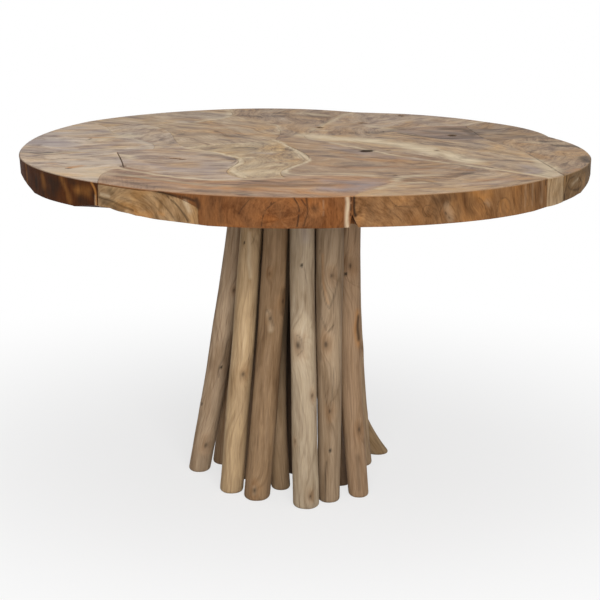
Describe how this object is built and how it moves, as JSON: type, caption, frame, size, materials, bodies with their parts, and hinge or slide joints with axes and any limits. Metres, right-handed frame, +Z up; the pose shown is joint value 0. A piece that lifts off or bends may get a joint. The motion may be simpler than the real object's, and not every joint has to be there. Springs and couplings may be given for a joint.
{
  "type": "round pedestal table",
  "caption": "Round table with a mosaic slab top of interlocking root-wood blocks on a flared pedestal bundle of debarked branch poles.",
  "frame": {"origin": "on the floor, under the middle of the top's outline", "axes": "+Z up, -Y towards the front with the largest reddish rim block, +X to the right seen from the front"},
  "size_m": [1.2744, 1.3056, 0.78],
  "materials": {
    "wood_front_left_dark": "bleached top, dark brown rim, matt",
    "wood_front_reddish": "reddish brown, matt",
    "wood_front_rim_filler": "tan filler, matt",
    "wood_front_right_tan": "yellowish tan, matt",
    "wood_right_end": "beige brown, matt",
    "wood_left_grey": "grey-lilac, matt",
    "wood_centre_left": "grey-brown, matt",
    "wood_centre_lens": "yellowish with cream sapwood, matt",
    "wood_centre_right": "brown, matt",
    "wood_long_pale": "pale, matt",
    "wood_back_right_inner": "beige, matt",
    "wood_back_right": "beige, matt",
    "wood_inset_dark": "darker brown, matt",
    "wood_right_back": "beige brown, matt",
    "wood_back_centre": "beige, matt",
    "wood_back_left": "beige, matt",
    "wood_inner_left": "beige, matt",
    "wood_inner_back": "beige, matt",
    "pole_pale": "pale debarked, matt",
    "pole_brown": "browner debarked, matt",
    "pole_tan": "tan debarked, matt",
    "pole_inner": "debarked, matt",
    "tongue_wood": "sawn",
    "plate_wood": "sawn",
    "bolt_steel": "zinc-plated"
  },
  "bodies": {
    "root": {"block_back_centre": "wood_back_centre", "block_back_left": "wood_back_left", "block_back_right": "wood_back_right", "block_back_right_inner": "wood_back_right_inner", "block_centre_left": "wood_centre_left", "block_centre_lens": "wood_centre_lens", "block_centre_right": "wood_centre_right", "block_front_left_dark": "wood_front_left_dark", "block_front_reddish": "wood_front_reddish", "block_front_right_tan": "wood_front_right_tan", "block_front_rim_filler": "wood_front_rim_filler", "block_inner_back": "wood_inner_back", "block_inner_left": "wood_inner_left", "block_inset_dark": "wood_inset_dark", "block_left_grey": "wood_left_grey", "block_long_pale": "wood_long_pale", "block_right_back": "wood_right_back", "block_right_end": "wood_right_end", "centre_pole": "pole_inner", "inner_pole_back": "pole_inner", "inner_pole_front": "pole_inner", "inner_pole_left_back": "pole_inner", "inner_pole_left_front": "pole_inner", "inner_pole_right_back": "pole_inner", "inner_pole_right_front": "pole_inner", "mounting_bolts": "bolt_steel", "mounting_plate": "plate_wood", "pole_back": "pole_tan", "pole_back_left": "pole_tan", "pole_back_right": "pole_tan", "pole_front": "pole_pale", "pole_front_left": "pole_brown", "pole_front_left_outer": "pole_tan", "pole_front_right": "pole_tan", "pole_kicked_foot": "pole_tan", "pole_left": "pole_tan", "pole_left_back": "pole_tan", "pole_right": "pole_tan", "pole_right_front": "pole_tan", "slab_tongues": "tongue_wood"}
  },
  "joints": []
}
